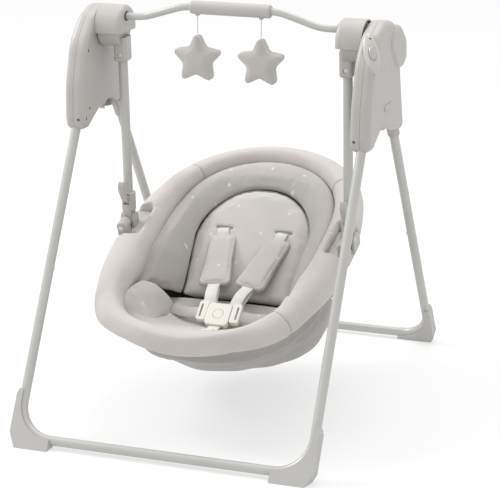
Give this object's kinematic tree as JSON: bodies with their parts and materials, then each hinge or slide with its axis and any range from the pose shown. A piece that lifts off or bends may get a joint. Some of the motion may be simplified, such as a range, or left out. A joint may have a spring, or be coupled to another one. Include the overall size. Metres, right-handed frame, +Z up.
{
  "type": "baby swing",
  "caption": "Folding tube-frame baby swing with an oval padded bucket seat, harness, drive housings and a toy bar with hanging stars.",
  "frame": {"origin": "on the floor, midway between the legs, under the middle of the stand", "axes": "+Z up, -Y towards the seat's foot end and the front legs, X across the swing; the seat faces -Y"},
  "size_m": [0.6421, 0.9069, 0.8135],
  "materials": {
    "tube_paint": "satin warm-grey powder coat",
    "shell_plastic": "fine matt, warm light grey",
    "foot_plastic": "fine matt grey",
    "bright_steel": "plain zinc plated",
    "bearing_plastic": "dark low-friction plastic",
    "panel_plastic": "satin",
    "light_lens": "dark translucent lens",
    "board": "green solder mask",
    "coil": "enamelled copper winding",
    "cells": "printed battery jacket",
    "rim_fabric": "soft knitted fabric, pale pinkish cream",
    "sling_fabric": "woven fabric, warm grey",
    "cushion_fabric": "soft knitted fabric, mid grey with small pale stars",
    "webbing": "off-white woven webbing",
    "buckle_plastic": "cream",
    "bar_grip": "fine matt",
    "toy_fabric": "soft plush",
    "string": "thin cord"
  },
  "bodies": {
    "stand": {"front_base_tube": "tube_paint", "front_legs": "tube_paint", "front_feet": "foot_plastic", "housing_outer_right": "shell_plastic", "housing_inner_right": "shell_plastic", "housing_outer_left": "shell_plastic", "housing_inner_left": "shell_plastic", "battery_door": "shell_plastic", "battery_tray": "shell_plastic", "rear_cap_left": "shell_plastic", "batteries": "cells", "control_panel": "panel_plastic", "indicator_light": "light_lens", "circuit_board": "board", "drive_coil": "coil", "housing_screws": "bright_steel", "fold_pins": "bright_steel", "hub_covers": "shell_plastic", "swing_shafts": "bright_steel", "toy_bar_bushes": "bearing_plastic"},
    "rear_frame": {"rear_base_tube": "tube_paint", "rear_legs": "tube_paint", "rear_feet": "foot_plastic", "rear_knuckles": "shell_plastic"},
    "swing": {"arm_hubs": "shell_plastic", "hub_bearings": "bearing_plastic", "hub_screws": "bright_steel", "drive_magnet": "bright_steel", "arm_tubes": "tube_paint", "arm_sockets": "shell_plastic"},
    "seat": {"seat_ring": "bright_steel", "seat_clamps": "shell_plastic", "recline_pins": "bright_steel", "clamp_screws": "bright_steel", "bumper": "rim_fabric", "seat_sling": "sling_fabric", "head_bolster": "cushion_fabric", "back_pad": "cushion_fabric", "seat_cushion": "cushion_fabric", "thigh_wings": "cushion_fabric", "shoulder_pads": "cushion_fabric", "harness_webbing": "webbing", "buckle_clips": "buckle_plastic", "buckle_body": "buckle_plastic"},
    "toy_bar": {"toy_bar": "tube_paint", "toy_bar_sleeve": "bar_grip"},
    "toy_string_left": {"toy_string_left": "string"},
    "toy_string_right": {"toy_string_right": "string"},
    "toy_star_left": {"toy_star_left": "toy_fabric"},
    "toy_star_right": {"toy_star_right": "toy_fabric"},
    "power_button": {"power_button": "panel_plastic"},
    "fold_button_left": {"fold_button_left": "foot_plastic"},
    "fold_button_right": {"fold_button_right": "foot_plastic"},
    "recline_lever_left": {"recline_lever_left": "shell_plastic"},
    "recline_lever_right": {"recline_lever_right": "shell_plastic"},
    "buckle_button": {"buckle_button": "buckle_plastic"},
    "front_snap_button_left": {"front_snap_button_left": "bright_steel"},
    "front_snap_button_right": {"front_snap_button_right": "bright_steel"},
    "rear_snap_button_left": {"rear_snap_button_left": "bright_steel"},
    "rear_snap_button_right": {"rear_snap_button_right": "bright_steel"}
  },
  "joints": [
    {"name": "rear_legs_fold", "type": "hinge", "parent": "stand", "child": "rear_frame", "pos_m": [0, 0.0623, 0.605], "axis": [1, 0, 0], "range_deg": [-60, 0]},
    {"name": "swing", "type": "hinge", "parent": "stand", "child": "swing", "pos_m": [0, -0.026, 0.75], "axis": [1, 0, 0], "range_deg": [-20, 20]},
    {"name": "seat_recline", "type": "hinge", "parent": "swing", "child": "seat", "pos_m": [0, -0.0028, 0.348], "axis": [1, 0, 0], "range_deg": [-12, 6]},
    {"name": "toy_bar_turn", "type": "hinge", "parent": "stand", "child": "toy_bar", "pos_m": [0, -0.035, 0.774], "axis": [1, 0, 0], "range_deg": [-90, 90]},
    {"name": "toy_string_left_swing", "type": "hinge", "parent": "toy_bar", "child": "toy_string_left", "pos_m": [-0.07, -0.035, 0.7834], "axis": [1, 0, 0], "range_deg": [-35, 35]},
    {"name": "toy_star_left_sway", "type": "hinge", "parent": "toy_string_left", "child": "toy_star_left", "pos_m": [-0.07, -0.035, 0.7484], "axis": [0, 1, 0], "range_deg": [-30, 30]},
    {"name": "toy_string_right_swing", "type": "hinge", "parent": "toy_bar", "child": "toy_string_right", "pos_m": [0.063, -0.035, 0.7834], "axis": [1, 0, 0], "range_deg": [-35, 35]},
    {"name": "toy_star_right_sway", "type": "hinge", "parent": "toy_string_right", "child": "toy_star_right", "pos_m": [0.063, -0.035, 0.7484], "axis": [0, 1, 0], "range_deg": [-30, 30]},
    {"name": "power_button_press", "type": "slide", "parent": "stand", "child": "power_button", "axis": [-0.469, 0.6953, -0.5446], "range_m": [0, 0.0015], "stiffness_N_per_m": 400},
    {"name": "fold_button_left_press", "type": "slide", "parent": "stand", "child": "fold_button_left", "axis": [1, 0, 0], "range_m": [0, 0.002], "stiffness_N_per_m": 600},
    {"name": "recline_lever_left_pull", "type": "hinge", "parent": "swing", "child": "recline_lever_left", "pos_m": [-0.2365, -0.0173, 0.391], "axis": [1, 0, 0], "range_deg": [0, 8], "stiffness_Nm_per_rad": 0.6},
    {"name": "front_snap_button_left_press", "type": "slide", "parent": "stand", "child": "front_snap_button_left", "axis": [-1, 0, 0], "range_m": [0, 0.002], "stiffness_N_per_m": 500},
    {"name": "rear_snap_button_left_press", "type": "slide", "parent": "rear_frame", "child": "rear_snap_button_left", "axis": [-1, 0, 0], "range_m": [0, 0.002], "stiffness_N_per_m": 500},
    {"name": "fold_button_right_press", "type": "slide", "parent": "stand", "child": "fold_button_right", "axis": [-1, 0, 0], "range_m": [0, 0.002], "stiffness_N_per_m": 600},
    {"name": "recline_lever_right_pull", "type": "hinge", "parent": "swing", "child": "recline_lever_right", "pos_m": [0.2365, -0.0173, 0.391], "axis": [1, 0, 0], "range_deg": [0, 8], "stiffness_Nm_per_rad": 0.6},
    {"name": "front_snap_button_right_press", "type": "slide", "parent": "stand", "child": "front_snap_button_right", "axis": [1, 0, 0], "range_m": [0, 0.002], "stiffness_N_per_m": 500},
    {"name": "rear_snap_button_right_press", "type": "slide", "parent": "rear_frame", "child": "rear_snap_button_right", "axis": [1, 0, 0], "range_m": [0, 0.002], "stiffness_N_per_m": 500},
    {"name": "buckle_button_press", "type": "slide", "parent": "seat", "child": "buckle_button", "axis": [0, 0.6347, -0.7727], "range_m": [0, 0.0015], "stiffness_N_per_m": 400}
  ]
}
